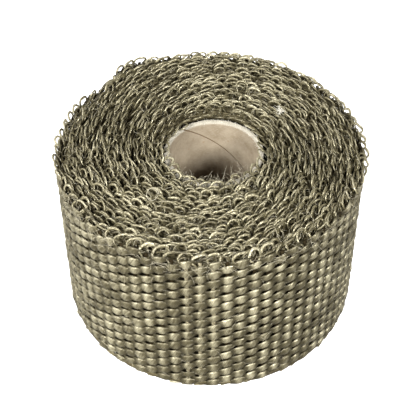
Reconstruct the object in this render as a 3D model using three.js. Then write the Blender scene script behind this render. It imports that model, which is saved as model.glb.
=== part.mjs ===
// Roll of woven exhaust heat wrap: one long narrow tape of titanium-coloured
// basalt fibre, wound in a spiral on a short cardboard core.
// Millimetres, +Z up. The roll stands on its end: the origin is in the middle of
// the roll's outline, at the level of the surface that it stands on.

import * as THREE from 'three';

// Driving dimensions of the wound tape

// Width of the tape, which is the height of the standing roll
const TAPE_WIDTH = 50;
// Thickness of one turn under winding tension
const TAPE_THICKNESS = 0.965;
// Whole turns between the tape's inner end and its outer end
const TURNS = 28;
// Direction of both ends of the tape, counter-clockwise from +X seen from above
const TAPE_END_ANGLE_DEG = 132;
// The turned-under outer end stands proud of the roll by this much, over this length
const END_BULGE_HEIGHT = 1.9;
const END_BULGE_LENGTH = 21;
// Groove that parts one turn from the next on both ends of the roll
const TURN_GROOVE_WIDTH = 0.3;
const TURN_GROOVE_DEPTH = 0.8;
// Flat facets in one turn of the spiral
const FACETS_PER_TURN = 30;

// Driving dimensions of the cardboard core

const CORE_OUTER_DIAMETER = 26.7;
const CORE_WALL = 1.4;
// The tape's edges stand past both ends of the core by this much
const CORE_RECESS = 1;
// Gap between the core and the first turn, all round
const CORE_CLEARANCE = 0.3;
// The turns lie closer together towards +X, so the core sits off the middle by this much
const CORE_OFFSET = 1.25;
const CORE_FACETS = 40;

// Sizes that follow from them

const boreRadius = CORE_OUTER_DIAMETER / 2 + CORE_CLEARANCE;
const turns = Math.max(1, Math.round(TURNS));
const stepAngle = (2 * Math.PI) / FACETS_PER_TURN;
const lastInnerStep = turns * FACETS_PER_TURN;
const lastOuterStep = lastInnerStep + FACETS_PER_TURN;
const startAngle = THREE.MathUtils.degToRad(TAPE_END_ANGLE_DEG);

// The spiral line between two turns, counted in facets from the inner end.
// A turn lies between the line at one step and the line one whole turn later.
const lineRadius = (step) => boreRadius + (TAPE_THICKNESS * step) / FACETS_PER_TURN;

// The middle of the spiral moves from the core's axis to the middle of the roll
const lineCentre = (step) => CORE_OFFSET * (1 - step / lastOuterStep);

// Extra radius of the outermost surface close to the tape's outer end
function endBulge(step) {
  const distance = (lastOuterStep - step) * stepAngle * lineRadius(step);
  if (step < lastInnerStep || distance > END_BULGE_LENGTH) {
    return 0;
  }
  return END_BULGE_HEIGHT * Math.sin((Math.PI * distance) / END_BULGE_LENGTH) ** 2;
}

// Collects the vertices and the four-sided faces of a closed body
class FacetedBody {
  constructor() {
    this.positions = [];
    this.indices = [];
  }

  // A vertex at a step of the spiral line, at a distance outward from it and at a height
  addVertex(step, outward, height) {
    const angle = startAngle + step * stepAngle;
    const radius = lineRadius(step) + endBulge(step) + outward;
    this.positions.push(
      lineCentre(step) + radius * Math.cos(angle),
      radius * Math.sin(angle),
      height,
    );
    return this.positions.length / 3 - 1;
  }

  // Corners run counter-clockwise, seen from outside
  addQuad(a, b, c, d) {
    this.indices.push(a, b, c, a, c, d);
  }

  toGeometry() {
    const geometry = new THREE.BufferGeometry();
    geometry.setAttribute('position', new THREE.Float32BufferAttribute(this.positions, 3));
    geometry.setIndex(this.indices);
    geometry.computeVertexNormals();
    return geometry;
  }
}

// The three families of lines that run along the spiral on one end of the roll:
// the bottom of the groove, and the inner and outer edge of each turn's flat edge
function addEndLines(body, edgeHeight, grooveHeight) {
  const halfGroove = TURN_GROOVE_WIDTH / 2;
  const lines = { groove: [], inner: [], outer: [] };
  for (let step = 0; step <= lastOuterStep; step += 1) {
    lines.groove.push(body.addVertex(step, 0, grooveHeight));
  }
  for (let step = 0; step <= lastInnerStep; step += 1) {
    lines.inner.push(body.addVertex(step, halfGroove, edgeHeight));
    lines.outer.push(body.addVertex(step + FACETS_PER_TURN, -halfGroove, edgeHeight));
  }
  return lines;
}

// The lines that cross one turn at a step, from its inner side to its outer side
function crossLine(lines, step) {
  return [
    lines.groove[step],
    lines.inner[step],
    lines.outer[step],
    lines.groove[step + FACETS_PER_TURN],
  ];
}

function windTape() {
  const body = new FacetedBody();
  const top = addEndLines(body, TAPE_WIDTH, TAPE_WIDTH - TURN_GROOVE_DEPTH);
  const bottom = addEndLines(body, 0, TURN_GROOVE_DEPTH);

  // Both ends of the roll
  for (let step = 0; step < lastInnerStep; step += 1) {
    const topHere = crossLine(top, step);
    const topNext = crossLine(top, step + 1);
    const bottomHere = crossLine(bottom, step);
    const bottomNext = crossLine(bottom, step + 1);
    for (let k = 0; k < 3; k += 1) {
      body.addQuad(topHere[k], topHere[k + 1], topNext[k + 1], topNext[k]);
      body.addQuad(bottomHere[k], bottomNext[k], bottomNext[k + 1], bottomHere[k + 1]);
    }
  }

  // The wall of the bore and the outside of the roll
  for (let k = 0; k < FACETS_PER_TURN; k += 1) {
    const outer = lastInnerStep + k;
    body.addQuad(top.groove[k], top.groove[k + 1], bottom.groove[k + 1], bottom.groove[k]);
    body.addQuad(
      top.groove[outer],
      bottom.groove[outer],
      bottom.groove[outer + 1],
      top.groove[outer + 1],
    );
  }

  // The cut inner end and the turned-under outer end of the tape
  const innerEnd = [crossLine(top, 0), crossLine(bottom, 0)];
  const outerEnd = [crossLine(top, lastInnerStep), crossLine(bottom, lastInnerStep)];
  for (let k = 0; k < 3; k += 1) {
    body.addQuad(innerEnd[0][k], innerEnd[1][k], innerEnd[1][k + 1], innerEnd[0][k + 1]);
    body.addQuad(outerEnd[0][k], outerEnd[0][k + 1], outerEnd[1][k + 1], outerEnd[1][k]);
  }
  return body.toGeometry();
}

// A plain tube, cut square at both ends
function turnCore() {
  const outer = CORE_OUTER_DIAMETER / 2;
  const inner = outer - CORE_WALL;
  const low = CORE_RECESS;
  const high = TAPE_WIDTH - CORE_RECESS;
  const profile = [
    new THREE.Vector2(inner, low),
    new THREE.Vector2(outer, low),
    new THREE.Vector2(outer, high),
    new THREE.Vector2(inner, high),
    new THREE.Vector2(inner, low),
  ];
  const tube = new THREE.LatheGeometry(profile, CORE_FACETS).rotateX(Math.PI / 2);
  return tube.translate(CORE_OFFSET, 0, 0);
}

const fibreMaterial = new THREE.MeshStandardMaterial({
  color: 0xaba17f,
  roughness: 0.7,
  metalness: 0,
});
const cardboardMaterial = new THREE.MeshStandardMaterial({
  color: 0xb9ab90,
  roughness: 0.9,
  metalness: 0,
});

const wrapTape = new THREE.Mesh(windTape(), fibreMaterial);
wrapTape.name = 'wrap_tape';

const cardboardCore = new THREE.Mesh(turnCore(), cardboardMaterial);
cardboardCore.name = 'cardboard_core';

const roll = new THREE.Group();
roll.add(wrapTape, cardboardCore);

export default roll;
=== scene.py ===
"""Roll of woven basalt exhaust wrap on a cardboard core, dressed for rendering.

The wound tape is made yarn by yarn: the plain weave of the outermost turn, the
loops that stand on both edges of every turn, the turned-under outer end and the
loose fibres. The cardboard core is a spirally wound tube with a fuzzy cut rim.
Lengths in this file are millimetres; they become metres when a mesh is made.
"""
import logging
import math
from dataclasses import dataclass, field
from enum import Enum

import bpy
import numpy as np
from mathutils import Matrix, Vector


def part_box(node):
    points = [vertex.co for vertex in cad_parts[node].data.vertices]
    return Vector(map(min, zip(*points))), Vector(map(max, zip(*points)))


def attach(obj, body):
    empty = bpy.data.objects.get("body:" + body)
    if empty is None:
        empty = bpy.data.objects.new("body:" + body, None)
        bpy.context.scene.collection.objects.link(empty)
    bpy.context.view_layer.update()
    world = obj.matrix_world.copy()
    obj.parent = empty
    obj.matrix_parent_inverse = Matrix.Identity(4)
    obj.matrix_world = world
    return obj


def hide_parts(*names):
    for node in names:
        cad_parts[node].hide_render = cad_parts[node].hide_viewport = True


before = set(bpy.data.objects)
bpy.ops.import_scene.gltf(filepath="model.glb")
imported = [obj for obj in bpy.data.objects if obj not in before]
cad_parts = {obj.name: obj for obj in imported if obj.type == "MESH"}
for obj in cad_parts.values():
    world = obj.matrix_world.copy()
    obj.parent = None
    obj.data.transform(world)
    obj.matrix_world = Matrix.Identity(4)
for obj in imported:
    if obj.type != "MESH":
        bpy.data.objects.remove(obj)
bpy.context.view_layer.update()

LOG = logging.getLogger("heat_wrap")
MM = 0.001
TAU = 2 * math.pi
Colour = tuple[float, float, float, float]
Number = float | bpy.types.NodeSocket
Tint = Colour | bpy.types.NodeSocket


class Edge(Enum):
    """The two woven edges of the tape, with the way that each one's loops stand."""

    TOP = 1
    BOTTOM = -1


class Slot(Enum):
    """Material slots of the part's record."""

    WEAVE = "basalt_weave"
    CARDBOARD = "core_cardboard"


def smooth_step(x: np.ndarray) -> np.ndarray:
    """Ease from 0 to 1 while x goes from 0 to 1."""
    t = np.clip(x, 0.0, 1.0)
    return t * t * (3 - 2 * t)


def wrapped(degrees: np.ndarray) -> np.ndarray:
    """Bring angles in degrees into the range from -180 to 180."""
    return (degrees + 180) % 360 - 180


@dataclass(frozen=True)
class TapeSizes:
    """Sizes of the wound tape, which the solids of the frame also follow."""

    thickness: float = 0.965
    turns: int = 28
    end_angle: float = math.radians(132)
    core_clearance: float = 0.3
    pick_pitch: float = 3.42
    warp_count: int = 29
    warp_pitch: float = 1.70
    first_warp_height: float = 1.40
    hem_height: float = 2.3
    hem_crest: float = 8.0
    hem_length: float = 20.0
    hem_lip: float = 1.5
    fold_inset: float = 1.2
    fold_radius: float = 0.45
    fold_return: float = 4.0

    @property
    def width(self) -> float:
        """Width of the tape, read from the frame's solid."""
        low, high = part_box("wrap_tape")
        return (high.z - low.z) / MM

    @property
    def core_radius(self) -> float:
        """Outer radius of the cardboard core, read from the frame's solid."""
        low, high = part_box("cardboard_core")
        return (high.x - low.x) / 2 / MM

    @property
    def core_offset(self) -> float:
        """How far the core's axis is from the middle of the roll, towards +X."""
        low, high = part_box("cardboard_core")
        return (high.x + low.x) / 2 / MM

    @property
    def first_mid_radius(self) -> float:
        """Radius of the middle of the first turn at the tape's inner end."""
        return self.core_radius + self.core_clearance + self.thickness / 2

    @property
    def last_warp_height(self) -> float:
        """Height of the uppermost warp yarn."""
        return self.first_warp_height + (self.warp_count - 1) * self.warp_pitch


@dataclass
class TapePath:
    """The line that the middle of the tape follows, from its inner to its outer end."""

    sizes: TapeSizes

    @property
    def length(self) -> float:
        """Length of the spiral, without the part that is folded under."""
        return self.distance_at(self.sizes.turns)

    @property
    def outer_turn_start(self) -> float:
        """Distance along the tape at which the outermost turn starts."""
        return self.distance_at(self.sizes.turns - 1)

    def distance_at(self, turn: float | np.ndarray) -> float | np.ndarray:
        """Give the distance along the tape after a number of turns.

        Args:
            turn: Turns wound so far.

        Returns:
            Distance from the inner end.
        """
        s = self.sizes
        return TAU * (s.first_mid_radius * turn + s.thickness * turn**2 / 2)

    def turn_at(self, distance: np.ndarray) -> np.ndarray:
        """Give the turns wound so far.

        Args:
            distance: Distances along the tape.

        Returns:
            Turns, counted from the inner end.
        """
        s = self.sizes
        root = np.sqrt(s.first_mid_radius**2 + s.thickness * distance / math.pi)
        return (root - s.first_mid_radius) / s.thickness

    def direction(self, distance: np.ndarray) -> np.ndarray:
        """Direction from the roll's middle, in degrees from -180 to 180."""
        return wrapped(np.degrees(self.sizes.end_angle + TAU * self.turn_at(distance)))

    def hem_lift(self, to_end: np.ndarray) -> np.ndarray:
        """How far the hemmed end stands off the roll.

        Args:
            to_end: Distance left to the end of the tape.

        Returns:
            Extra radius at that place.
        """
        s = self.sizes
        near = np.sin(math.pi / 2 * (to_end + s.hem_lip) / (s.hem_crest + s.hem_lip))
        far = np.cos(math.pi / 2 * (to_end - s.hem_crest) / (s.hem_length - s.hem_crest)) ** 2
        lift = np.where(to_end < s.hem_crest, near, far)
        return s.hem_height * np.where(to_end < s.hem_length, lift, 0.0)

    def frame_at(self, distance: np.ndarray) -> tuple[np.ndarray, np.ndarray]:
        """Give the place and the outward direction along the tape.

        Args:
            distance: Distances from the inner end; past the fold the tape runs back.

        Returns:
            Points of the middle line and unit normals, both in the horizontal plane.
        """
        s = self.sizes
        fold_start = self.length - s.fold_inset
        arc = math.pi * s.fold_radius
        past = np.clip(distance - fold_start, 0.0, arc)
        back = np.maximum(distance - fold_start - arc, 0.0)
        plain = np.minimum(distance, fold_start) - back
        u = self.turn_at(plain)
        angle = s.end_angle + TAU * u
        radius = s.first_mid_radius + s.thickness * u + self.hem_lift(self.length - plain)
        out = np.stack([np.cos(angle), np.sin(angle)], -1)
        along = np.stack([-np.sin(angle), np.cos(angle)], -1)
        bend = past / s.fold_radius
        normal = out * np.cos(bend)[..., None] + along * np.sin(bend)[..., None]
        centre = out * (radius - np.where(past > 0, s.fold_radius, 0.0))[..., None]
        point = centre + normal * np.where(past > 0, s.fold_radius, 0.0)[..., None]
        shift = s.core_offset * (1 - (u + 0.5) / (s.turns + 1))
        return point + np.stack([shift, 0 * shift], -1), normal

    def place(self, distance: np.ndarray, out: np.ndarray, height: np.ndarray) -> np.ndarray:
        """Turn tape coordinates into points.

        Args:
            distance: Distance along the tape.
            out: Offset from the middle of the tape, outward.
            height: Height above the floor.

        Returns:
            Points with x, y and z in the last axis.
        """
        point, normal = self.frame_at(distance)
        flat = point + normal * np.asarray(out)[..., None]
        z = np.broadcast_to(height, flat.shape[:-1])
        return np.concatenate([flat, z[..., None]], -1)

    def outward(self, distance: np.ndarray) -> np.ndarray:
        """Unit vectors that point out of the tape's outer face, with z in the last axis."""
        _, normal = self.frame_at(distance)
        return np.concatenate([normal, np.zeros(normal.shape[:-1] + (1,))], -1)


@dataclass
class YarnMesh:
    """Collects tubes of yarn and joins them into one closed, textured mesh."""

    name: str
    points: list[np.ndarray] = field(default_factory=list)
    quads: list[np.ndarray] = field(default_factory=list)
    corners: list[np.ndarray] = field(default_factory=list)
    tones: list[np.ndarray] = field(default_factory=list)
    count: int = 0
    map_shift: float = 7.31

    def sweep(self, centres: np.ndarray, facing: np.ndarray, half_width: np.ndarray,
              half_depth: np.ndarray, tone: np.ndarray, sides: int = 8) -> None:
        """Add tubes that follow centre lines.

        Args:
            centres: Tube by ring by 3, the middle of each ring.
            facing: Tube by ring by 3, the way that the yarn's flat face looks.
            half_width: Half the yarn's width, across the facing direction.
            half_depth: Half the yarn's thickness, along the facing direction.
            tone: Shade of each ring, from 0 to 1: random variation and painted shade and light.
            sides: Even number of points round a ring.
        """
        tubes, rings = centres.shape[:2]
        run = np.gradient(centres, axis=1)
        run /= np.linalg.norm(run, axis=-1, keepdims=True)
        side = np.cross(run, facing)
        side /= np.linalg.norm(side, axis=-1, keepdims=True)
        up = np.cross(side, run)
        turn = np.arange(sides) * TAU / sides + math.pi
        width = np.broadcast_to(half_width, (tubes, rings))[..., None, None]
        depth = np.broadcast_to(half_depth, (tubes, rings))[..., None, None]
        round_up = up[:, :, None] * (np.cos(turn)[:, None] * depth)
        round_side = side[:, :, None] * (np.sin(turn)[:, None] * width)
        ring_points = centres[:, :, None] + round_up + round_side
        self.points.append(ring_points.reshape(-1, 3))
        shade = np.broadcast_to(tone, (tubes, rings))
        self.tones.append(np.repeat(shade.reshape(-1), sides))
        self._add_walls(centres, sides, float(np.mean(width) + np.mean(depth)))
        self.count += tubes * rings * sides

    def _add_walls(self, centres: np.ndarray, sides: int, girth: float) -> None:
        """Add the faces of the last swept tubes.

        Args:
            centres: Tube by ring by 3.
            sides: Points round a ring.
            girth: Sum of the mean half width and half depth.
        """
        tubes, rings = centres.shape[:2]
        tube = np.arange(tubes)[:, None, None] * rings * sides + self.count
        ring = np.arange(rings - 1)[None, :, None] * sides
        here = np.arange(sides)[None, None, :]
        after = (here + 1) % sides
        a, b = tube + ring + here, tube + ring + after
        walls = np.stack([a, b, b + sides, a + sides], -1).reshape(-1, 4)
        steps = np.linalg.norm(np.diff(centres, axis=1), axis=-1)
        run = np.concatenate([np.zeros((tubes, 1)), np.cumsum(steps, 1)], 1)
        run = run + (np.arange(tubes) * self.map_shift)[:, None]
        low, high = run[:, :-1, None], run[:, 1:, None]
        v0 = here * girth * math.pi / sides + 0 * low
        v1 = (here + 1) * girth * math.pi / sides + 0 * low
        low, high = low + 0 * here, high + 0 * here
        flat = [low, v0, low, v1, high, v1, high, v0]
        self.quads.append(walls)
        self.corners.append(np.stack(flat, -1).reshape(-1, 4, 2))
        first = np.arange(tubes) * rings * sides + self.count
        last = first + (rings - 1) * sides
        for k in range(sides // 2 - 1):
            ring_quad = np.array([k, k + 1, sides - 2 - k, sides - 1 - k])
            self.quads.append(first[:, None] + ring_quad[::-1][None])
            self.quads.append(last[:, None] + ring_quad[None])
            self.corners.append(np.zeros((2 * tubes, 4, 2)))

    def build(self) -> bpy.types.Object:
        """Make the Blender object.

        Returns:
            The joined mesh, in metres, shaded smooth, with a UV map and a tone attribute.
        """
        points = np.concatenate(self.points) * MM
        quads = np.concatenate(self.quads)
        corners = np.concatenate(self.corners)
        mesh = bpy.data.meshes.new(self.name)
        mesh.vertices.add(len(points))
        mesh.vertices.foreach_set("co", points.astype(np.float32).ravel())
        mesh.loops.add(quads.size)
        mesh.loops.foreach_set("vertex_index", quads.astype(np.int32).ravel())
        mesh.polygons.add(len(quads))
        mesh.polygons.foreach_set("loop_start", np.arange(0, quads.size, 4, dtype=np.int32))
        mesh.polygons.foreach_set("use_smooth", np.ones(len(quads), bool))
        layer = mesh.uv_layers.new(name="yarn")
        layer.data.foreach_set("uv", corners.astype(np.float32).ravel())
        shade = mesh.attributes.new("tone", "FLOAT", "POINT")
        shade.data.foreach_set("value", np.concatenate(self.tones).astype(np.float32))
        mesh.update(calc_edges=True)
        mesh.validate()
        piece = bpy.data.objects.new(self.name, mesh)
        bpy.context.scene.collection.objects.link(piece)
        return piece


class NodeTree:
    """Short way to add and link shader nodes in one tree."""

    def __init__(self, tree: bpy.types.NodeTree) -> None:
        """Keep the tree.

        Args:
            tree: A material's or a group's node tree.
        """
        self.tree = tree

    def feed(self, node: bpy.types.Node, values: dict) -> None:
        """Set a node's inputs.

        Args:
            node: The node.
            values: Input name or index to constant or to the socket that feeds it.
        """
        for name, value in values.items():
            if isinstance(value, bpy.types.NodeSocket):
                self.tree.links.new(value, node.inputs[name])
            else:
                node.inputs[name].default_value = value

    def add(self, kind: str, values: dict | None = None,
            **settings: object) -> bpy.types.Node:
        """Add a node.

        Args:
            kind: Blender's node type.
            values: Input name or index to constant or to the socket that feeds it.
            **settings: The node's own properties.

        Returns:
            The new node.
        """
        node = self.tree.nodes.new(kind)
        for name, value in settings.items():
            setattr(node, name, value)
        self.feed(node, values or {})
        return node

    def maths(self, operation: str, a: Number, b: Number = 0.0,
              clamp: bool = False) -> bpy.types.NodeSocket:
        """Add a Math node and give its output."""
        node = self.add("ShaderNodeMath", {0: a, 1: b}, operation=operation, use_clamp=clamp)
        return node.outputs[0]

    def mix(self, factor: Number, a: Tint, b: Tint) -> bpy.types.NodeSocket:
        """Mix two colours; the factor is the share of the second one."""
        node = self.add("ShaderNodeMix", {0: factor, 6: a, 7: b}, data_type="RGBA")
        return node.outputs[2]

    def remap(self, value: Number, low: float, high: float, to_low: float = 0.0,
              to_high: float = 1.0) -> bpy.types.NodeSocket:
        """Stretch a range of a value to another range, clamped."""
        values = {0: value, 1: low, 2: high, 3: to_low, 4: to_high}
        return self.add("ShaderNodeMapRange", values).outputs[0]


def new_group(name: str, inputs: dict[str, tuple[str, float]],
              outputs: dict[str, str]) -> tuple[bpy.types.NodeTree, NodeTree]:
    """Start a shader node group.

    Args:
        name: Name of the group.
        inputs: Socket name to its kind and, for a number, its default.
        outputs: Socket name to its kind.

    Returns:
        The group and the helper that adds its nodes.
    """
    group = bpy.data.node_groups.new(name, "ShaderNodeTree")
    for socket, (kind, default) in inputs.items():
        made = group.interface.new_socket(socket, in_out="INPUT", socket_type=kind)
        if kind == "NodeSocketFloat":
            made.default_value = default
    for socket, kind in outputs.items():
        group.interface.new_socket(socket, in_out="OUTPUT", socket_type=kind)
    return group, NodeTree(group)


def start_material(name: str) -> tuple[bpy.types.Material, NodeTree, bpy.types.Node]:
    """Start a material that is made of nodes.

    Args:
        name: Name of the material.

    Returns:
        The material, the helper that adds its nodes, and its shader.
    """
    material = bpy.data.materials.new(name)
    material.use_nodes = True
    return material, NodeTree(material.node_tree), material.node_tree.nodes["Principled BSDF"]


def fibre_streak_group() -> bpy.types.NodeTree:
    """Build the effect of many fine filaments that run along a yarn.

    Returns:
        A group from the yarn's map in millimetres to a streak value.
    """
    sizes = {
        "Map": ("NodeSocketVector", 0.0),
        "Along": ("NodeSocketFloat", 0.35),
        "Across": ("NodeSocketFloat", 7.0),
        "Twist": ("NodeSocketFloat", 0.25),
        "Ply Size": ("NodeSocketFloat", 1.0),
    }
    outs = {"Streak": "NodeSocketFloat", "Clump": "NodeSocketFloat", "Ply": "NodeSocketFloat"}
    group, tree = new_group("fibre_streaks", sizes, outs)
    given = tree.add("NodeGroupInput").outputs
    parts = tree.add("ShaderNodeSeparateXYZ", {0: given["Map"]}).outputs
    turned = tree.maths("ADD", parts[1], tree.maths("MULTIPLY", parts[0], given["Twist"]))
    fine = tree.add("ShaderNodeCombineXYZ", {
        0: tree.maths("MULTIPLY", parts[0], given["Along"]),
        1: tree.maths("MULTIPLY", turned, given["Across"]),
    })
    streak = tree.add("ShaderNodeTexNoise", {
        "Vector": fine.outputs[0], "Scale": 1.0, "Detail": 3.0, "Roughness": 0.6,
        "Distortion": 0.15,
    })
    broad = tree.add("ShaderNodeCombineXYZ", {
        0: tree.maths("MULTIPLY", parts[0], 0.6),
        1: tree.maths("MULTIPLY", turned, 1.6),
    })
    clump = tree.add("ShaderNodeTexNoise", {
        "Vector": broad.outputs[0], "Scale": 1.0, "Detail": 2.0,
    })
    wave = tree.maths("PINGPONG", tree.maths("DIVIDE", turned, given["Ply Size"]), 0.5)
    tree.add("NodeGroupOutput", {
        "Streak": tree.remap(streak.outputs[0], 0.28, 0.72),
        "Clump": tree.remap(clump.outputs[0], 0.3, 0.7),
        "Ply": tree.remap(wave, 0.0, 0.16),
    })
    return group


def mottle_group() -> bpy.types.NodeTree:
    """Build soft patches and fine specks that lie anywhere on a piece.

    Returns:
        A group from object coordinates to a patch value and a speck mask.
    """
    sizes = {
        "Place": ("NodeSocketVector", 0.0),
        "Patches": ("NodeSocketFloat", 120.0),
        "Specks": ("NodeSocketFloat", 900.0),
    }
    outs = {"Patch": "NodeSocketFloat", "Speck": "NodeSocketFloat"}
    group, tree = new_group("mottle", sizes, outs)
    given = tree.add("NodeGroupInput").outputs
    patch = tree.add("ShaderNodeTexNoise", {
        "Vector": given["Place"], "Scale": given["Patches"], "Detail": 4.0,
    })
    speck = tree.add("ShaderNodeTexVoronoi", {
        "Vector": given["Place"], "Scale": given["Specks"],
    })
    tree.add("NodeGroupOutput", {
        "Patch": tree.remap(patch.outputs[0], 0.3, 0.7),
        "Speck": tree.remap(speck.outputs["Distance"], 0.18, 0.08),
    })
    return group


@dataclass(frozen=True)
class EffectGroups:
    """The shader node groups that more than one finish uses."""

    streaks: bpy.types.NodeTree
    mottle: bpy.types.NodeTree


@dataclass(frozen=True)
class YarnFinish:
    """Twisted basalt fibre: glassy filaments with a soft sheen."""

    name: str
    dark: Colour
    middle: Colour
    light: Colour
    roughness: float = 0.42
    specular: float = 0.55
    bump: float = 0.6
    bump_depth: float = 0.12
    across: float = 3.5
    twist: float = 0.7
    metallic: float = 0.5
    tone_share: float = 0.62
    ply_size: float = 1.0
    ply_groove: float = 0.0
    groove_relief: float = 2.0
    streak_share: float = 0.36
    clump_share: float = 0.2
    patch_share: float = 0.16
    darkening: float = 0.26
    middle_at: float = 0.5
    light_from: float = 0.45
    dull: float = 0.12
    shine: float = 0.06

    def make(self, effects: EffectGroups) -> bpy.types.Material:
        """Build the material.

        Args:
            effects: Shared node groups.

        Returns:
            The material.
        """
        material, tree, shader = start_material(self.name)
        place = tree.add("ShaderNodeTexCoord").outputs["Object"]
        yarn_map = tree.add("ShaderNodeUVMap", uv_map="yarn").outputs[0]
        # The tone attribute carries the pieces' painted shade and light as well as random
        # variation.
        tone = tree.add("ShaderNodeAttribute", attribute_name="tone").outputs["Fac"]
        streaks = tree.add("ShaderNodeGroup", {
            "Map": yarn_map, "Across": self.across, "Twist": self.twist,
            "Ply Size": self.ply_size,
        }, node_tree=effects.streaks).outputs
        mottle = tree.add("ShaderNodeGroup", {"Place": place}, node_tree=effects.mottle).outputs
        shade = tree.maths("MULTIPLY", streaks["Streak"], self.streak_share)
        shade = tree.maths("ADD", shade, tree.maths("MULTIPLY", tone, self.tone_share))
        clumps = tree.maths("MULTIPLY", streaks["Clump"], self.clump_share)
        shade = tree.maths("ADD", shade, clumps)
        warm = tree.maths("MULTIPLY", mottle["Patch"], self.patch_share)
        shade = tree.maths("SUBTRACT", tree.maths("ADD", shade, warm), self.darkening, clamp=True)
        low = tree.mix(tree.remap(shade, 0.0, self.middle_at), self.dark, self.middle)
        colour = tree.mix(tree.remap(shade, self.light_from, 1.0), low, self.light)
        # Painted shade: the grooves between plies are darkened towards the dark colour; the same
        # mask also sinks the bump.
        open_groove = tree.maths("SUBTRACT", 1.0, streaks["Ply"])
        groove = tree.maths("MULTIPLY", open_groove, self.ply_groove)
        colour = tree.mix(groove, colour, self.dark)
        rough = tree.remap(streaks["Streak"], 0.0, 1.0,
                           self.roughness + self.dull, self.roughness - self.shine)
        sunk = tree.maths("MULTIPLY", groove, self.groove_relief)
        relief = tree.maths("SUBTRACT", streaks["Streak"], sunk)
        bump = tree.add("ShaderNodeBump", {
            "Strength": self.bump, "Distance": self.bump_depth * MM, "Height": relief,
        }).outputs[0]
        tree.feed(shader, {
            "Base Color": colour, "Roughness": rough, "Normal": bump,
            "Specular IOR Level": self.specular, "Metallic": self.metallic,
        })
        return material


@dataclass(frozen=True)
class CardboardFinish:
    """Grey-beige wound cardboard with a torn, whitish cut rim, painted darker lower down as
    painted shade in the bore.
    """

    name: str = "core_cardboard_finish"
    face: Colour = (0.30, 0.247, 0.175, 1)
    shadow: Colour = (0.20, 0.155, 0.10, 1)
    rim: Colour = (0.44, 0.41, 0.335, 1)
    speck: Colour = (0.22, 0.13, 0.06, 1)
    seam: Colour = (0.12, 0.08, 0.045, 1)
    deep_shade_from: float = 36.0
    deep_shade_to: float = 26.0
    deep_shade_share: float = 0.6
    patches: float = 260.0
    specks: float = 420.0
    grain: float = 1500.0
    grain_squash: float = 3.5
    pale_from: float = 0.45
    pale_to: float = 0.75
    pale_share: float = 0.35
    speck_from: float = 0.62
    speck_share: float = 0.5
    rim_ragged: float = 0.9
    rim_fade: float = 0.75
    rim_full: float = 0.15
    rim_share: float = 0.85
    bump: float = 0.5
    bump_depth: float = 0.12
    roughness: float = 0.88
    specular: float = 0.25

    def make(self, effects: EffectGroups, rim_height: float) -> bpy.types.Material:
        """Build the material.

        Args:
            effects: Shared node groups.
            rim_height: Height of the cut rim, in metres.

        Returns:
            The material.
        """
        material, tree, shader = start_material(self.name)
        place = tree.add("ShaderNodeTexCoord").outputs["Object"]
        mottle = tree.add("ShaderNodeGroup", {
            "Place": place, "Patches": self.patches, "Specks": self.specks,
        }, node_tree=effects.mottle).outputs
        squashed = tree.add("ShaderNodeMapping", {
            "Vector": place, "Scale": (1.0, 1.0, self.grain_squash),
        }).outputs[0]
        fibre = tree.add("ShaderNodeTexNoise", {
            "Vector": squashed, "Scale": self.grain, "Detail": 4.0, "Roughness": 0.65,
        }).outputs[0]
        colour = tree.mix(mottle["Patch"], self.shadow, self.face)
        pale = tree.remap(fibre, self.pale_from, self.pale_to)
        colour = tree.mix(tree.maths("MULTIPLY", pale, self.pale_share), colour, self.rim)
        rare = tree.maths("GREATER_THAN", mottle["Patch"], self.speck_from)
        specks = tree.maths("MULTIPLY", mottle["Speck"], rare)
        colour = tree.mix(tree.maths("MULTIPLY", specks, self.speck_share), colour, self.speck)
        height = tree.add("ShaderNodeSeparateXYZ", {0: place}).outputs[2]
        about_zero = tree.maths("SUBTRACT", fibre, 0.5)
        ragged = tree.maths("MULTIPLY", about_zero, self.rim_ragged * MM)
        # Painted shade: below a height the board darkens towards the seam colour as it goes
        # lower, for the shade down the bore.
        deep_shade = tree.remap(height, self.deep_shade_from * MM, self.deep_shade_to * MM, 0.0, self.deep_shade_share)
        colour = tree.mix(deep_shade, colour, self.seam)
        height = tree.maths("ADD", height, ragged)
        rim = tree.remap(height, rim_height - self.rim_fade * MM, rim_height - self.rim_full * MM)
        colour = tree.mix(tree.maths("MULTIPLY", rim, self.rim_share), colour, self.rim)
        seam = tree.add("ShaderNodeAttribute", attribute_name="seam").outputs["Fac"]
        colour = tree.mix(seam, colour, self.seam)
        bump = tree.add("ShaderNodeBump", {
            "Strength": self.bump, "Distance": self.bump_depth * MM, "Height": fibre,
        }).outputs[0]
        tree.feed(shader, {
            "Base Color": colour, "Normal": bump, "Roughness": self.roughness,
            "Specular IOR Level": self.specular,
        })
        return material


@dataclass(frozen=True)
class FloorFinish:
    """A plain pale sweep that looks white but throws little light back."""

    name: str = "pale_floor"
    seen: Colour = (0.93, 0.93, 0.925, 1)
    bounced: Colour = (0.24, 0.23, 0.20, 1)
    glow: float = 0.75
    glow_colour: Colour = (1, 1, 1, 1)
    roughness: float = 0.9

    def make(self) -> bpy.types.Material:
        """Build the material.

        Returns:
            The material.
        """
        material, tree, shader = start_material(self.name)
        seen = tree.add("ShaderNodeLightPath").outputs["Is Camera Ray"]
        tree.feed(shader, {
            "Base Color": tree.mix(seen, self.bounced, self.seen),
            "Emission Strength": tree.maths("MULTIPLY", seen, self.glow),
            "Emission Color": self.glow_colour,
            "Roughness": self.roughness,
        })
        return material


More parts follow.
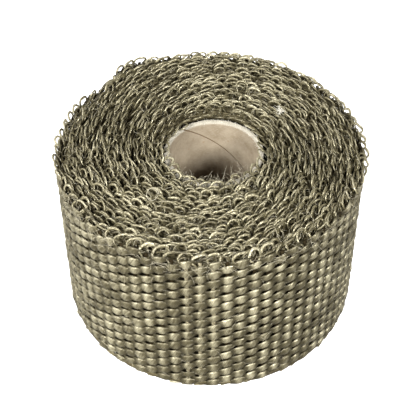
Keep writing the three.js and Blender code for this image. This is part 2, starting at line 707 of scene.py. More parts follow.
@dataclass
class OuterWeave:
    """The plain weave of the outermost turn: warp yarns along it, weft picks across."""

    path: TapePath
    rings_per_pick: int = 5
    overlap: float = 14.0
    over: float = 0.38
    under: float = -0.38
    crest_width: float = 1.40
    trough_width: float = 0.56
    swell_power: float = 0.8
    painted_crest_power: float = 3.2
    dive_painted_shade: float = 0.08
    painted_lit_tone: float = 0.44
    painted_lit_middle: float = -150.0
    painted_lit_half_width: float = 48.0
    crest_depth: float = 0.46
    trough_depth: float = 0.25
    tilt: float = 0.36
    lowest_calm: float = 0.3
    lowest_out: float = 0.22
    weft_half_width: float = 0.55
    weft_half_depth: float = 0.17
    pale_strip_middle: float = -92.0
    pale_strip_half_width: float = 7.0
    sway: float = 0.13
    lift: float = 0.06
    plump: float = 0.10
    darkest: float = 0.55
    darkest_pick: float = 0.72
    roundness: float = 0.95
    painted_lit_fade: float = 20.0
    floor_gap: float = 0.05
    weft_wander: float = 0.02
    weft_wave: float = 0.16
    weft_sunk: float = 0.05
    weft_shade_tone: float = 0.2
    pale_strip_tone: float = 0.75
    pale_strip_out: float = 0.12

    def picks(self) -> np.ndarray:
        """Give the picks of the outermost turn.

        Returns:
            Their distances along the tape.
        """
        pitch = self.path.sizes.pick_pitch
        first = math.ceil((self.path.outer_turn_start - self.overlap) / pitch)
        last = math.floor((self.path.length + self.path.sizes.fold_return) / pitch)
        return np.arange(first, last + 1) * pitch

    def build_warp(self) -> bpy.types.Object:
        """Weave the warp yarns.

        Returns:
            All warp yarns of the outermost turn as one piece.
        """
        draw = np.random.default_rng(11)
        sizes = self.path.sizes
        picks = self.picks()
        first = int(round(picks[0] / sizes.pick_pitch))
        steps = (len(picks) - 1) * self.rings_per_pick + 1
        phase = first + np.arange(steps) / self.rings_per_pick
        yarn = np.arange(sizes.warp_count)
        grid = (len(yarn), len(picks))
        sway = draw.normal(0, self.sway, grid)
        lift = draw.normal(0, self.lift, grid)
        plump = draw.normal(1, self.plump, grid)
        tone = draw.uniform(self.darkest, 1.0, grid)
        tone = tone * draw.uniform(self.darkest_pick, 1.0, (1, len(picks)))
        at = np.arange(steps) / self.rings_per_pick
        knots = np.arange(len(picks))
        sway, lift, plump, tone = [np.stack([np.interp(at, knots, row) for row in values])
                                   for values in (sway, lift, plump, tone)]
        beat = math.pi * (phase[None] + yarn[:, None])
        wave = np.cos(beat)
        rounded = np.sign(wave) * np.abs(wave) ** self.roundness
        half = (self.over + self.under) / 2 + (self.over - self.under) / 2 * rounded
        half[0] = half[0] * self.lowest_calm + self.lowest_out
        share = (rounded + 1) / 2
        swell = share**self.swell_power
        width = (self.trough_width + (self.crest_width - self.trough_width) * swell) * plump
        depth = (self.trough_depth + (self.crest_depth - self.trough_depth) * share) * plump
        distance = np.broadcast_to(phase * sizes.pick_pitch, wave.shape)
        # Painted light: in the arc that faces the left lamps, the dives are painted less dark.
        apart = np.abs(wrapped(self.path.direction(distance) - self.painted_lit_middle))
        painted_lit = smooth_step((self.painted_lit_half_width - apart) / self.painted_lit_fade)
        # Painted shade and light: each warp yarn is painted dark where it dives under a pick and
        # light on its crest, for the shade in the dips.
        base = self.dive_painted_shade + self.painted_lit_tone * painted_lit
        tone = tone * (base + (1 - base) * share**self.painted_crest_power)
        slant = self.tilt * np.sin(beat)
        height = sizes.first_warp_height + yarn[:, None] * sizes.warp_pitch + sway + slant
        height = np.maximum(height, width + self.floor_gap)
        mesh = YarnMesh("outer_turn_warp")
        mesh.sweep(self.path.place(distance, half + lift, height),
                   self.path.outward(distance), width, depth, tone)
        return mesh.build()

    def build_weft(self) -> bpy.types.Object:
        """Weave the weft picks.

        Returns:
            All weft picks of the outermost turn as one piece.
        """
        draw = np.random.default_rng(12)
        sizes = self.path.sizes
        picks = self.picks()
        index = np.round(picks / sizes.pick_pitch).astype(int)
        rows = np.arange(-0.5, sizes.warp_count - 0.4, 0.5)
        wave = -np.cos(math.pi * (index[:, None] + rows[None]))
        height = sizes.first_warp_height + rows * sizes.warp_pitch
        height = np.broadcast_to(height, wave.shape)
        sway = np.cumsum(draw.normal(0, self.weft_wander, wave.shape), 1)
        distance = picks[:, None] + sway
        # Picks in a narrow strip facing the front are paler and stand further out.
        apart = np.abs(self.path.direction(picks) - self.pale_strip_middle)[:, None]
        pale_strip = np.where(apart < self.pale_strip_half_width,
                        draw.uniform(self.pale_strip_tone, 1.0, apart.shape), 0.0)
        # Painted shade: most picks take tones near zero, so the weft shows near black in the
        # holes between the warp floats.
        tone = np.maximum(draw.uniform(0, self.weft_shade_tone, (len(picks), 1)), pale_strip)
        out = self.weft_wave * wave - self.weft_sunk + self.pale_strip_out * pale_strip
        mesh = YarnMesh("outer_turn_weft")
        mesh.sweep(self.path.place(distance, out, height),
                   self.path.outward(distance), self.weft_half_width,
                   self.weft_half_depth, tone, sides=6)
        return mesh.build()


@dataclass(frozen=True)
class LoopShape:
    """Sizes of one edge loop and how finely it is modelled."""

    reach: float = 2.7
    half_opening: float = 1.75
    strand_width: float = 0.31
    width_spread: float = 0.28
    strand_depth: float = 0.20
    wobble: float = 0.13
    # shaded is painted shade on the turns just inside the outermost one; glow is painted light on
    # the outermost loops' crowns.
    shaded: float = 0.75
    glow: float = 0.3
    floor_gap: float = 0.04
    foot: float = 1.3
    yaw: float = math.radians(9)
    yaw_spread: float = math.radians(7)
    rings: int = 15
    sides: int = 6
    span: float = math.radians(212)
    bulb: float = math.radians(146)
    leg: float = math.radians(66)
    foot_opening: float = 0.22
    opening_spread: float = 0.10
    flared_narrowing: float = 0.06
    reach_spread: float = 0.15
    reach_limits: tuple[float, float] = (0.6, 1.2)
    slump: float = 0.25
    twist: float = 1.5
    width_limits: tuple[float, float] = (0.55, 1.5)
    foot_inward: float = 0.25
    tones: tuple[float, float] = (0.3, 0.9)
    shaded_foot_tone: float = 0.35
    lit_crown_tone: float = 0.65
    foot_width: float = 0.72
    crown_width: float = 0.33


@dataclass(frozen=True)
class LoopLean:
    """How far loops lean outward, in degrees, and where the outermost ones flare."""

    inner: float = -12.0
    inner_spread: float = 20.0
    first_turn: float = -62.0
    outer: float = -34.0
    outer_spread: float = 6.0
    flared: float = 38.0
    flared_arcs: tuple[tuple[float, float], ...] = ((38.0, 56.0), (172.0, 24.0))
    flared_reach: float = 0.56
    hem: float = 6.0
    hem_reach: float = 0.72
    hem_arc: tuple[float, float] = (112.0, 24.0)
    fade: float = 6.0

    def share(self, direction: np.ndarray, arc: tuple[float, float]) -> np.ndarray:
        """Tell how much of an arc's effect reaches a direction.

        Args:
            direction: Directions in degrees.
            arc: Middle and half width of the arc, in degrees.

        Returns:
            0 outside the arc, 1 inside.
        """
        apart = np.abs(wrapped(direction - arc[0]))
        return smooth_step((arc[1] + self.fade - apart) / (2 * self.fade))

    def outermost(self, direction: np.ndarray) -> np.ndarray:
        """Mean lean of the outermost loops at each direction, in degrees."""
        lean = self.outer + (self.flared - self.outer) * self.flare(direction)
        return lean + (self.hem - lean) * self.share(direction, self.hem_arc)

    def flare(self, direction: np.ndarray) -> np.ndarray:
        """How much the outermost loops flare at each direction, from 0 to 1."""
        return np.clip(sum(self.share(direction, arc) for arc in self.flared_arcs), 0, 1)


@dataclass
class EdgeLoops:
    """The loops in which each weft pick turns round the edge of the tape."""

    path: TapePath
    edge: Edge
    shape: LoopShape
    lean: LoopLean
    seed: int = 21

    def outline(self, count: int) -> tuple[np.ndarray, np.ndarray]:
        """Shape of one loop, as a bulb on two feet.

        Args:
            count: Points along it.

        Returns:
            Offsets along the tape and heights over the edge, for a unit loop.
        """
        shape = self.shape
        turn = np.linspace(-1, 1, count) * shape.span
        bulb = np.abs(turn) <= shape.bulb
        leg = np.clip((np.abs(turn) - shape.bulb) / shape.leg, 0, 1)
        foot = math.sin(shape.bulb) * (1 - leg) + shape.foot_opening * leg
        side = np.where(bulb, np.sin(turn), np.sign(turn) * foot)
        rise = np.where(bulb, np.cos(turn), math.cos(shape.bulb) - leg)
        return side, rise

    def build(self, name: str, start: float, stop: float) -> bpy.types.Object:
        """Make the loops along a stretch of the tape.

        Args:
            name: Name of the piece.
            start: Distance along the tape of the first loop.
            stop: Distance along the tape of the last loop.

        Returns:
            The loops as one piece.
        """
        sizes = self.path.sizes
        shape = self.shape
        draw = np.random.default_rng(self.seed + int(start))
        pitch = sizes.pick_pitch
        first, last = math.ceil(start / pitch), math.floor(stop / pitch)
        middle = np.arange(first, last + 1)[:, None] * pitch
        count = len(middle)
        side, rise = self.outline(shape.rings)
        side, rise = side[None], rise[None]
        share = np.clip((rise + 1) / 2, 0, 1)
        last_turn = smooth_step((middle - self.path.outer_turn_start) / 30 + 0.7)
        flare = self.lean.flare(self.path.direction(middle)) * last_turn
        hem = self.lean.share(self.path.direction(middle), self.lean.hem_arc) * last_turn
        shrink = 1 - (1 - self.lean.flared_reach) * flare
        shrink = shrink - (shrink - self.lean.hem_reach) * hem
        narrow = 1 - shape.flared_narrowing * flare
        wide = shape.half_opening * draw.normal(1, shape.opening_spread, (count, 1)) * narrow
        uneven = np.clip(draw.normal(1, shape.reach_spread, (count, 1)), *shape.reach_limits)
        tall = shape.reach / 2 * uneven * shrink
        bent = shape.wobble * np.sin(math.pi * (side + draw.uniform(-1, 1, (count, 1))))
        along = side * wide + draw.normal(0, shape.slump, (count, 1)) * share
        above = 2 * share * tall + bent * share
        below = np.minimum(rise + 1, 0) * shape.foot
        yaw = np.tan(draw.normal(shape.yaw, shape.yaw_spread, (count, 1)))
        twist = draw.normal(0, shape.twist * shape.wobble, (count, 1)) * np.sin(rise * 2)
        lean = self._lean(middle, last_turn, draw)
        spread = np.exp(draw.normal(0, shape.width_spread, (count, 1)))
        spread = np.clip(spread, *shape.width_limits)
        spread = 1 + (spread - 1) * (1 - flare)
        height = below + above * np.cos(lean)
        out = twist - along * yaw + above * np.sin(lean) - below * shape.foot_inward
        if self.edge is Edge.TOP:
            base = sizes.last_warp_height
        else:
            base = sizes.first_warp_height
        tone = draw.uniform(*shape.tones, (count, 1))
        # Painted shade and light: feet are painted darker and crowns lighter, loops one to two
        # turns inside are darkened as painted shade behind the front rings, and glow paints light
        # on the outermost crowns.
        tone = tone * (shape.shaded_foot_tone + shape.lit_crown_tone * share)
        behind = self.path.sizes.turns - self.path.turn_at(middle)
        shaded = smooth_step(behind - 0.9) * smooth_step(2.6 - behind)
        tone = tone * (1 - shape.shaded * shaded) + shape.glow * last_turn * share
        distance = middle + along
        facing = self.path.outward(distance) * np.cos(lean)[..., None]
        facing[..., 2] -= self.edge.value * np.sin(lean)
        half_width = shape.strand_width * spread * (shape.foot_width + shape.crown_width * share)
        level = np.maximum(base + self.edge.value * height, half_width + shape.floor_gap)
        mesh = YarnMesh(name)
        mesh.sweep(self.path.place(distance, out, level), facing, half_width,
                   shape.strand_depth, tone, shape.sides)
        return mesh.build()

    def _lean(self, middle: np.ndarray, last_turn: np.ndarray,
              draw: np.random.Generator) -> np.ndarray:
        """Pick how far each loop leans outward.

        Args:
            middle: Distance along the tape of each loop.
            last_turn: 1 on the outermost turn, 0 on the others.
            draw: Source of the random draws.

        Returns:
            Angles in radians.
        """
        inner = draw.normal(self.lean.inner, self.lean.inner_spread, middle.shape)
        first = smooth_step(1.6 - self.path.turn_at(middle))
        inner = inner + (self.lean.first_turn - inner) * first * 0.8
        outer = self.lean.outermost(self.path.direction(middle))
        outer = outer + draw.normal(0, self.lean.outer_spread, middle.shape)
        return np.radians(inner + (outer - inner) * last_turn)


@dataclass
class WoundLayers:
    """The turns behind the outermost one, of which only the edges show."""

    path: TapePath
    half_gap: float = 0.14
    edge_drop: float = 1.1
    steps_per_turn: int = 60
    cord_drop: float = 0.5
    cord_half_width: float = 0.75
    cord_half_depth: float = 0.33
    last_cord_out: float = 0.2
    last_cord_fade: float = 10.0
    cord_end_gap: float = 2.0
    cord_rings_per_pick: float = 2.5
    cord_wave: float = 0.13
    cord_wobble: float = 0.16
    cord_tones: tuple[float, float] = (0.05, 0.75)
    floor_gap: float = 0.04
    band_end_gap: float = 0.98

    def build_band(self) -> bpy.types.Object:
        """Wind a plain band for the inside of the roll.

        Returns:
            The band, one closed solid.
        """
        sizes = self.path.sizes
        low = sizes.first_warp_height + self.edge_drop
        high = sizes.last_warp_height - self.edge_drop
        curve = bpy.data.curves.new("wound_layers", "CURVE")
        curve.dimensions = "3D"
        spline = curve.splines.new("POLY")
        turn = np.linspace(0, sizes.turns - self.band_end_gap, sizes.turns * self.steps_per_turn)
        distance = self.path.distance_at(turn)
        middle = self.path.place(distance, 0 * distance, (low + high) / 2) * MM
        spline.points.add(len(middle) - 1)
        flat = np.concatenate([middle, np.ones((len(middle), 1))], 1)
        spline.points.foreach_set("co", flat.astype(np.float32).ravel())
        curve.extrude = (high - low) / 2 * MM
        band = bpy.data.objects.new("wound_layers", curve)
        bpy.context.scene.collection.objects.link(band)
        pick_only(band)
        bpy.ops.object.convert(target="MESH")
        apply_modifier(band, "SOLIDIFY", offset=0,
                       thickness=(sizes.thickness - 2 * self.half_gap) * MM)
        bpy.ops.object.shade_smooth_by_angle(angle=math.radians(40))
        return band

    def build_cord(self, edge: Edge) -> bpy.types.Object:
        """Make the warp yarn that runs along the edge of every inner turn.

        Args:
            edge: Which edge of the tape.

        Returns:
            The yarn, one long tube.
        """
        sizes = self.path.sizes
        draw = np.random.default_rng(31 + edge.value)
        if edge is Edge.TOP:
            base, stop = sizes.last_warp_height, self.path.outer_turn_start
        else:
            base, stop = sizes.first_warp_height, self.path.length - self.cord_end_gap
        rings = int(stop / sizes.pick_pitch * self.cord_rings_per_pick)
        at = np.arange(rings)
        distance = np.linspace(1, stop, rings)[None]
        wave = np.cos(math.pi * distance / sizes.pick_pitch)
        knots = np.arange(0, rings + 9, 9)
        wobble = np.interp(at, knots, draw.normal(0, self.cord_wobble, len(knots)))
        level = np.maximum(base - self.cord_drop + wobble, self.cord_half_width + self.floor_gap)
        knots = np.arange(0, rings + 3, 3)
        tone = np.interp(at, knots, draw.uniform(*self.cord_tones, len(knots)))[None]
        mesh = YarnMesh("edge_warp_" + edge.name.lower())
        last_turn = smooth_step((distance - self.path.outer_turn_start) / self.last_cord_fade)
        out = self.cord_wave * wave * (1 - last_turn) + self.last_cord_out * last_turn
        mesh.sweep(self.path.place(distance, out, level), self.path.outward(distance),
                   self.cord_half_width, self.cord_half_depth, tone, sides=6)
        return mesh.build()


def pick_only(piece: bpy.types.Object) -> None:
    """Select one object and make it active.

    Args:
        piece: The object.
    """
    bpy.ops.object.select_all(action="DESELECT")
    piece.select_set(True)
    bpy.context.view_layer.objects.active = piece


def apply_modifier(piece: bpy.types.Object, kind: str, **settings: object) -> None:
    """Add a modifier to the active object and apply it.

    Args:
        piece: The object, selected and active.
        kind: Blender's modifier type.
        **settings: The modifier's own properties.
    """
    modifier = piece.modifiers.new(kind.lower(), kind)
    for name, value in settings.items():
        setattr(modifier, name, value)
    bpy.ops.object.modifier_apply(modifier=modifier.name)


@dataclass
class CardboardCore:
    """The spirally wound cardboard tube."""

    wall: float = 1.2
    columns: int = 108
    rows: int = 64
    seam_pitch: float = 60.0
    seam_margin: float = 0.06
    seam_depth: float = 0.3
    seam_angle: float = math.radians(130)
    seam_edge: float = 0.05
    rim_roughness: float = 0.22
    rim_grain: float = 0.9
    rim_band: float = 0.3
    rim_bevel: float = 0.22

    def build(self) -> bpy.types.Object:
        """Model the tube with its sunk seam and its rough rim.

        Returns:
            The core as one closed piece.
        """
        low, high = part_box("cardboard_core")
        outer = (high.x - low.x) / 2
        inner = outer - self.wall * MM
        height = high.z - low.z
        bpy.ops.object.select_all(action="DESELECT")
        bpy.ops.mesh.primitive_cylinder_add(
            vertices=self.columns, radius=inner, depth=height, end_fill_type="NOTHING",
            location=(0, 0, (low.z + high.z) / 2))
        core = bpy.context.object
        core.name = core.data.name = "wound_core"
        bpy.ops.object.transform_apply(location=True, rotation=True, scale=True)
        self._cut_rows(core, low.z, height)
        self._sink_seam(core)
        self._thicken(core)
        self._twist(core, high.z)
        self._roughen(core, low.z, high.z)
        pick_only(core)
        core.location.x = (low.x + high.x) / 2
        bpy.ops.object.transform_apply(location=True, rotation=True, scale=True)
        return core

    def _cut_rows(self, core: bpy.types.Object, low: float, height: float) -> None:
        """Cut the wall into level rows.

        Args:
            core: The tube.
            low: Height of its lower rim, in metres.
            height: Its height, in metres.
        """
        bpy.ops.object.mode_set(mode="EDIT")
        for row in range(1, self.rows):
            bpy.ops.mesh.select_all(action="SELECT")
            bpy.ops.mesh.bisect(plane_co=(0, 0, low + height * row / self.rows),
                                plane_no=(0, 0, 1))
        bpy.ops.object.mode_set(mode="OBJECT")

    def _sink_seam(self, core: bpy.types.Object) -> None:
        """Sink the joint between two plies into one column of the wall.

        Args:
            core: The tube, still untwisted.
        """
        column = TAU / self.columns
        for face in core.data.polygons:
            angle = math.atan2(face.center.y, face.center.x)
            face.select = 0 < angle < column
        bpy.ops.object.mode_set(mode="EDIT")
        bpy.ops.mesh.select_mode(type="FACE")
        bpy.ops.mesh.inset(thickness=self.seam_margin * MM, depth=0, use_boundary=False)
        bpy.ops.mesh.inset(thickness=self.seam_edge * MM, depth=self.seam_depth * MM,
                           use_boundary=False)
        bpy.ops.object.mode_set(mode="OBJECT")
        mask = core.data.attributes.new("seam", "FLOAT", "POINT")
        for face in core.data.polygons:
            if face.select:
                for vertex in face.vertices:
                    mask.data[vertex].value = 1.0

    def _thicken(self, core: bpy.types.Object) -> None:
        """Give the wall its thickness, outward, and soften its edges.

        Args:
            core: The tube, still a single skin.
        """
        pick_only(core)
        apply_modifier(core, "SOLIDIFY", thickness=self.wall * MM, offset=1)
        apply_modifier(core, "BEVEL", width=self.rim_bevel * MM, segments=2,
                       limit_method="ANGLE", angle_limit=math.radians(60))

    def _twist(self, core: bpy.types.Object, top: float) -> None:
        """Turn the straight seam into a helix.

        Args:
            core: The tube.
            top: Height of its upper rim, in metres.
        """
        for vertex in core.data.vertices:
            below = (top - vertex.co.z) / MM
            turn = self.seam_angle - below / self.seam_pitch * TAU
            vertex.co = Matrix.Rotation(turn, 3, "Z") @ vertex.co
        core.data.update()

    def _roughen(self, core: bpy.types.Object, low: float, high: float) -> None:
        """Make both cut rims uneven.

        Args:
            core: The tube.
            low: Height of the lower rim, in metres.
            high: Height of the upper rim, in metres.
        """
        pick_only(core)
        rims = core.vertex_groups.new(name="rims")
        near = [v.index for v in core.data.vertices
                if min(v.co.z - low, high - v.co.z) < self.rim_band * MM]
        rims.add(near, 1.0, "REPLACE")
        grain = bpy.data.textures.new("rim_grain", "CLOUDS")
        grain.noise_scale = self.rim_grain * MM
        apply_modifier(core, "DISPLACE", texture=grain, vertex_group="rims",
                       strength=self.rim_roughness * MM * 2, mid_level=0.5)
        bpy.ops.object.shade_smooth_by_angle(angle=math.radians(50))


@dataclass
class Hairs:
    """Fine loose fibres, as thin tubes."""

    name: str
    radius: float = 0.035
    rings: int = 7
    ceiling: float = 53.4
    wander: float = 0.35
    tip: float = 0.45
    darkest: float = 0.5
    facing: tuple[float, float, float] = (0.31, 0.22, 0.92)

    def build(self, roots: np.ndarray, heading: np.ndarray, length: np.ndarray,
              curl: float, seed: int, low: float = 0.1) -> bpy.types.Object:
        """Grow fibres from points.

        Args:
            roots: Hair by 3, the start of each.
            heading: Hair by 3, unit start directions.
            length: Length of each.
            curl: How much they bend.
            seed: Seed of the random draws.
            low: Lowest height that a fibre may reach.

        Returns:
            The fibres as one piece.
        """
        draw = np.random.default_rng(seed)
        count = len(roots)
        step = (length / (self.rings - 1))[:, None]
        way = heading / np.linalg.norm(heading, axis=1, keepdims=True)
        bend = draw.normal(0, curl, (count, 3))
        point, line = roots.copy(), [roots.copy()]
        for _ in range(self.rings - 1):
            way = way + bend + draw.normal(0, curl * self.wander, (count, 3))
            way /= np.linalg.norm(way, axis=1, keepdims=True)
            point = point + way * step
            point[:, 2] = np.clip(point[:, 2], low, self.ceiling)
            line.append(point.copy())
        centres = np.stack(line, 1)
        facing = np.broadcast_to(np.array(self.facing), centres.shape)
        taper = np.linspace(1, self.tip, self.rings)[None] * self.radius
        tone = np.broadcast_to(draw.uniform(self.darkest, 1.0, (count, 1)), centres.shape[:2])
        mesh = YarnMesh(self.name)
        mesh.sweep(centres, facing, taper, taper, tone, sides=4)
        return mesh.build()


@dataclass
class LooseFibres:
    """Fibres that stand out of the weave, the edges and the core's rim."""

    path: TapePath
    side_count: int = 520
    band_count: int = 420
    top_count: int = 900
    rim_count: int = 1100
    bore_count: int = 46
    fluff_count: int = 45
    fluff_middle: tuple[float, float, float] = (19.5, 13.8, 51.9)

    def build_side(self) -> bpy.types.Object:
        """Fray the outside of the roll.

        Returns:
            The fibres as one piece.
        """
        draw = np.random.default_rng(41)
        sizes = self.path.sizes
        count = self.side_count + self.band_count
        distance = draw.uniform(self.path.outer_turn_start, self.path.length - 2, count)
        height = np.concatenate([
            draw.uniform(1.0, sizes.width - 0.5, self.side_count),
            draw.normal(sizes.width - 1.8, 0.8, self.band_count),
        ])
        roots = self.path.place(distance, np.full(count, 0.6), height)
        out = self.path.outward(distance)
        along = np.cross(np.array([0, 0, 1.0]), out)
        way = along * draw.choice([-1, 1], (count, 1))
        way = way + out * draw.uniform(0.02, 0.35, (count, 1))
        way = way + np.array([0, 0, 1]) * draw.normal(0, 0.3, (count, 1))
        length = draw.gamma(2.2, 0.8, count) + 0.8
        return Hairs("side_fibres", radius=0.028).build(roots, way, length, curl=0.14, seed=42)

    def build_top(self) -> bpy.types.Object:
        """Fray the upper edge loops.

        Returns:
            The fibres as one piece.
        """
        draw = np.random.default_rng(43)
        sizes = self.path.sizes
        distance = draw.uniform(5, self.path.length - 2, self.top_count)
        height = draw.uniform(sizes.width - 0.6, sizes.width + 0.7, self.top_count)
        roots = self.path.place(distance, np.zeros(self.top_count), height)
        way = draw.normal(0, 1, (self.top_count, 3))
        way[:, 2] = np.abs(way[:, 2]) * 0.35
        length = draw.gamma(2.2, 0.9, self.top_count) + 0.6
        return Hairs("top_fibres", radius=0.032).build(roots, way, length, curl=0.22, seed=44)

    def _round_core(self, angle: np.ndarray, radius: np.ndarray,
                    height: np.ndarray) -> np.ndarray:
        """Place points round the axis of the core.

        Args:
            angle: Directions in radians.
            radius: Distances from the core's axis.
            height: Heights above the floor.

        Returns:
            Points with x, y and z in the last axis.
        """
        x = self.path.sizes.core_offset + radius * np.cos(angle)
        return np.stack([x, radius * np.sin(angle), height], -1)

    def build_rim(self) -> bpy.types.Object:
        """Fray the cut rim of the cardboard core.

        Returns:
            The fibres as one piece.
        """
        draw = np.random.default_rng(45)
        sizes = self.path.sizes
        count = self.rim_count
        angle = draw.uniform(0, TAU, count)
        radius = sizes.core_radius - draw.uniform(0.05, 1.2, count)
        roots = self._round_core(angle, radius, np.full(count, sizes.width - 1.05))
        way = draw.normal(0, 1, (count, 3))
        way[:, 2] = np.abs(way[:, 2]) * 0.6
        length = draw.gamma(2.0, 0.22, count) + 0.25
        return Hairs("rim_fibres", radius=0.03).build(roots, way, length, curl=0.3, seed=46)

    def build_bore(self) -> bpy.types.Object:
        """Let fibres hang over the front of the bore.

        Returns:
            The fibres as one piece.
        """
        draw = np.random.default_rng(47)
        sizes = self.path.sizes
        count = self.bore_count
        angle = np.radians(draw.normal(-84, 26, count))
        roots = self._round_core(angle, np.full(count, sizes.core_radius - 0.2),
                                 draw.uniform(sizes.width - 1, sizes.width, count))
        way = self._round_core(angle + math.pi, np.full(count, 1.0), np.full(count, 0.35))
        way[:, 0] -= sizes.core_offset
        way += draw.normal(0, 0.35, (count, 3))
        length = draw.gamma(2.6, 1.0, count) + 1.0
        return Hairs("bore_fibres", radius=0.03).build(roots, way, length, curl=0.12, seed=48)

    def build_fluff(self) -> bpy.types.Object:
        """Lay the small white tuft on the right of the upper end.

        Returns:
            The tuft as one piece.
        """
        draw = np.random.default_rng(49)
        roots = np.array(self.fluff_middle) + draw.normal(0, 0.3, (self.fluff_count, 3))
        way = draw.normal(0, 1, (self.fluff_count, 3))
        length = draw.uniform(0.8, 2.2, self.fluff_count)
        return Hairs("fluff", radius=0.045).build(roots, way, length, curl=0.5, seed=50)


@dataclass
class StrayFibres:
    """The single long fibres that lie on the upper end."""

    curl_middle: tuple[float, float, float] = (-14.4, -19.3, 51.9)
    curl_radius: float = 1.7
    curl_tilt: float = math.radians(42)
    curl_turns: float = 1.2
    curl_shrink: float = 0.04
    curl_stretch: float = 1.3
    curl_climb: float = 0.05
    curl_rise: float = 0.9
    strand_start: tuple[float, float, float] = (-34.8, 10.9, 51.6)
    strand_end: tuple[float, float, float] = (-36.0, 19.5, 52.0)
    strand_sag: float = 0.5
    radius: float = 0.05
    rings: int = 40

    def build(self) -> bpy.types.Object:
        """Sweep the curl and the strand.

        Returns:
            Both fibres as one piece.
        """
        turn = np.linspace(0, self.curl_turns * TAU, self.rings)
        wide = self.curl_radius * (1 - self.curl_shrink * turn)
        level = self.curl_stretch * wide * np.sin(turn) * math.cos(self.curl_tilt)
        curl = np.stack([
            wide * np.cos(turn),
            level + self.curl_climb * turn,
            wide * np.sin(turn) * math.sin(self.curl_tilt) * self.curl_rise,
        ], -1) + np.array(self.curl_middle)
        along = np.linspace(0, 1, self.rings)[:, None]
        start, end = np.array(self.strand_start), np.array(self.strand_end)
        strand = start + (end - start) * along
        strand[:, 0] += self.strand_sag * np.sin(math.pi * along[:, 0])
        centres = np.stack([curl, strand])
        facing = np.broadcast_to(np.array([0.02, -0.7, 0.71]), centres.shape)
        mesh = YarnMesh("stray_fibres")
        mesh.sweep(centres, facing, self.radius, self.radius, np.array([[0.9], [0.6]]), sides=6)
        return mesh.build()


@dataclass(frozen=True)
class Softbox:
    """A square soft light: its place and side in metres, its power in watts."""

    name: str
    place: tuple[float, float, float]
    size: float
    power: float


@dataclass
class Studio:
    """The floor, the light and the camera."""

    surroundings: float = 0.2
    floor_size: float = 6.0
    nearest: float = 0.01
    softboxes: tuple[Softbox, ...] = (
        Softbox("left_softbox", (-0.42, -0.50, 0.50), 0.28, 9.0),
        Softbox("left_window", (-0.85, -0.10, 0.40), 0.60, 7.0),
        Softbox("right_softbox", (0.36, -0.56, 0.48), 0.16, 10.0),
        Softbox("back_softbox", (-0.05, 0.60, 0.55), 0.35, 2.5),
    )
    lens: float = 94.63
    camera_distance: float = 309.944
    elevation: float = math.radians(45.492)
    aim_height: float = 25.0
    shift: tuple[float, float] = (-0.00279, 0.01738)

    def build(self) -> None:
        """Set up the stage."""
        self._floor()
        self._light()
        self._camera()
        view = bpy.context.scene.view_settings
        view.view_transform = "Standard"
        view.look = "None"

    def _floor(self) -> None:
        """Lay the pale floor."""
        bpy.ops.object.select_all(action="DESELECT")
        bpy.ops.mesh.primitive_plane_add(size=self.floor_size, location=(0, 0, 0))
        floor = bpy.context.object
        floor.name = "floor"
        floor.data.materials.append(FloorFinish().make())

    def _light(self) -> None:
        """Hang the soft lights and set the surroundings."""
        world = bpy.data.worlds.new("studio")
        bpy.context.scene.world = world
        world.use_nodes = True
        background = world.node_tree.nodes["Background"]
        background.inputs["Color"].default_value = (1, 1, 1, 1)
        background.inputs["Strength"].default_value = self.surroundings
        for softbox in self.softboxes:
            self._hang(softbox)

    def _hang(self, softbox: Softbox) -> None:
        """Hang one soft light that looks at the roll.

        Args:
            softbox: The light.
        """
        lamp = bpy.data.lights.new(softbox.name, "AREA")
        lamp.size = softbox.size
        lamp.energy = softbox.power
        light = bpy.data.objects.new(softbox.name, lamp)
        light.location = softbox.place
        aim = Vector((0, 0, self.aim_height * MM)) - Vector(softbox.place)
        light.rotation_mode = "QUATERNION"
        light.rotation_quaternion = aim.to_track_quat("-Z", "Y")
        bpy.context.scene.collection.objects.link(light)

    def _camera(self) -> None:
        """Place the camera at the photograph's viewing angle."""
        data = bpy.data.cameras.new("camera")
        data.lens = self.lens
        data.shift_x, data.shift_y = self.shift
        data.clip_start = self.nearest
        camera = bpy.data.objects.new("camera", data)
        back = Vector((0, -math.cos(self.elevation), math.sin(self.elevation)))
        camera.location = Vector((0, 0, self.aim_height * MM)) + back * self.camera_distance * MM
        camera.rotation_mode = "QUATERNION"
        camera.rotation_quaternion = (-back).to_track_quat("-Z", "Y")
        bpy.context.scene.collection.objects.link(camera)
        bpy.context.scene.camera = camera


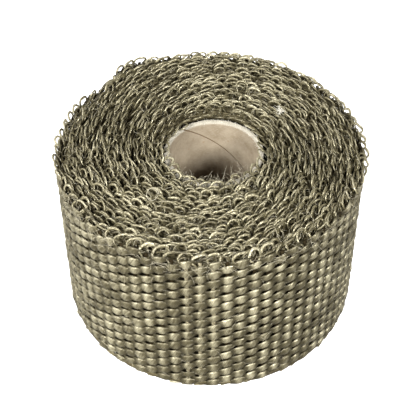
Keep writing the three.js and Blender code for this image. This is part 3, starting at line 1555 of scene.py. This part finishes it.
@dataclass
class HeatWrapRoll:
    """The whole roll: builds each piece, dresses it and hands it to the frame."""

    sizes: TapeSizes = field(default_factory=TapeSizes)
    outer_loops_lead: float = 5.0
    loops_end_gap: float = 2.5

    def build(self) -> None:
        """Build and dress every piece."""
        path = TapePath(self.sizes)
        effects = EffectGroups(fibre_streak_group(), mottle_group())
        warp_finish = YarnFinish("warp_yarn", (0.018, 0.014, 0.006, 1), (0.105, 0.090, 0.048, 1),
                                 (0.56, 0.515, 0.355, 1), roughness=0.26,
                                 tone_share=0.86).make(effects)
        # The weft's dark and middle colours are near black, painted shade for the holes between
        # the warp floats; its light colour is the yarn's own.
        weft_finish = YarnFinish("weft_yarn", (0.012, 0.008, 0.003, 1), (0.03, 0.022, 0.009, 1),
                                 (0.46, 0.41, 0.27, 1), roughness=0.8, specular=0.08,
                                 metallic=0.0).make(effects)
        # The edge cords are painted darker than the loops: partly the yarn's own colour, partly
        # painted shade in the holes of the loops.
        cord_finish = YarnFinish("edge_yarn", (0.03, 0.023, 0.010, 1), (0.12, 0.10, 0.05, 1),
                                 (0.36, 0.32, 0.20, 1), specular=0.3).make(effects)
        loop_finish = YarnFinish("loop_yarn", (0.034, 0.026, 0.011, 1), (0.20, 0.174, 0.094, 1),
                                 (0.60, 0.55, 0.385, 1), roughness=0.25, specular=0.9,
                                 metallic=0.4, ply_size=0.8, ply_groove=0.5).make(effects)
        # The inner turns' band is painted near black: painted shade for the gaps between the edge
        # loops, not the yarn's own colour.
        layer_shade_finish = YarnFinish("layer_painted_shade", (0.006, 0.005, 0.003, 1),
                                  (0.015, 0.012, 0.007, 1), (0.04, 0.033, 0.02, 1),
                                  specular=0.1, metallic=0.0).make(effects)
        hair_finish = YarnFinish("hair", (0.3, 0.27, 0.18, 1), (0.5, 0.45, 0.32, 1),
                                 (0.72, 0.67, 0.52, 1), roughness=0.4,
                                 metallic=0.0).make(effects)
        pale_finish = YarnFinish("pale_hair", (0.5, 0.46, 0.37, 1), (0.68, 0.64, 0.53, 1),
                                 (0.85, 0.83, 0.76, 1), roughness=0.6,
                                 metallic=0.0).make(effects)
        weave = OuterWeave(path)
        layers = WoundLayers(path)
        loose = LooseFibres(path)
        loops_end = path.length - self.loops_end_gap
        top = EdgeLoops(path, Edge.TOP, LoopShape(), LoopLean())
        flat = LoopLean(outer=6.0, outer_spread=3.0, flared=6.0, flared_reach=1.0,
                        hem=6.0, hem_reach=1.0)
        bottom = EdgeLoops(path, Edge.BOTTOM,
                           LoopShape(reach=1.25, foot=1.0, strand_width=0.38, rings=9, sides=4),
                           flat, seed=61)
        outer_shape = LoopShape(reach=2.9, strand_width=0.36, width_spread=0.15,
                                strand_depth=0.23, yaw=math.radians(16), rings=27, sides=8)
        outer_loops = EdgeLoops(path, Edge.TOP, outer_shape, LoopLean(), seed=81)
        self.dress(weave.build_warp(), warp_finish, "wrap_tape")
        self.dress(weave.build_weft(), weft_finish, "wrap_tape")
        self.dress(layers.build_band(), layer_shade_finish, "wrap_tape")
        for edge in Edge:
            self.dress(layers.build_cord(edge), cord_finish, "wrap_tape")
        ends = (0.0, path.outer_turn_start / 2, path.outer_turn_start - self.outer_loops_lead)
        for part, start, stop in zip(("inner", "middle"), ends[:-1], ends[1:]):
            self.dress(top.build(f"top_loops_{part}", start, stop), loop_finish,
                       "wrap_tape")
        self.dress(outer_loops.build("top_loops_outer", ends[-1], loops_end),
                   loop_finish, "wrap_tape")
        self.dress(bottom.build("bottom_loops", 0, loops_end), loop_finish,
                   "wrap_tape")
        self.dress(loose.build_side(), hair_finish)
        self.dress(loose.build_top(), hair_finish)
        self.dress(loose.build_bore(), hair_finish)
        self.dress(loose.build_fluff(), pale_finish)
        self.dress(StrayFibres().build(), hair_finish)
        self.dress(loose.build_rim(), pale_finish)
        _, core_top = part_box("cardboard_core")
        core_finish = CardboardFinish().make(effects, core_top.z)
        self.dress(CardboardCore().build(), core_finish, "cardboard_core")

    def dress(self, piece: bpy.types.Object, finish: bpy.types.Material,
              node: str | None = None) -> None:
        """Give a piece its finish and tie it to the frame.

        Args:
            piece: The finished mesh.
            finish: Its material.
            node: The solid that it stands for, if any.
        """
        piece.data.materials.clear()
        piece.data.materials.append(finish)
        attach(piece, "root")
        if node:
            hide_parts(node)
        triangles = sum(len(face.vertices) - 2 for face in piece.data.polygons)
        LOG.info("%s: %d triangles", piece.name, triangles)


def main() -> None:
    """Build the roll and the studio."""
    logging.basicConfig(level=logging.INFO, format="%(name)s: %(message)s")
    HeatWrapRoll().build()
    Studio().build()


if __name__ == "__main__":
    main()
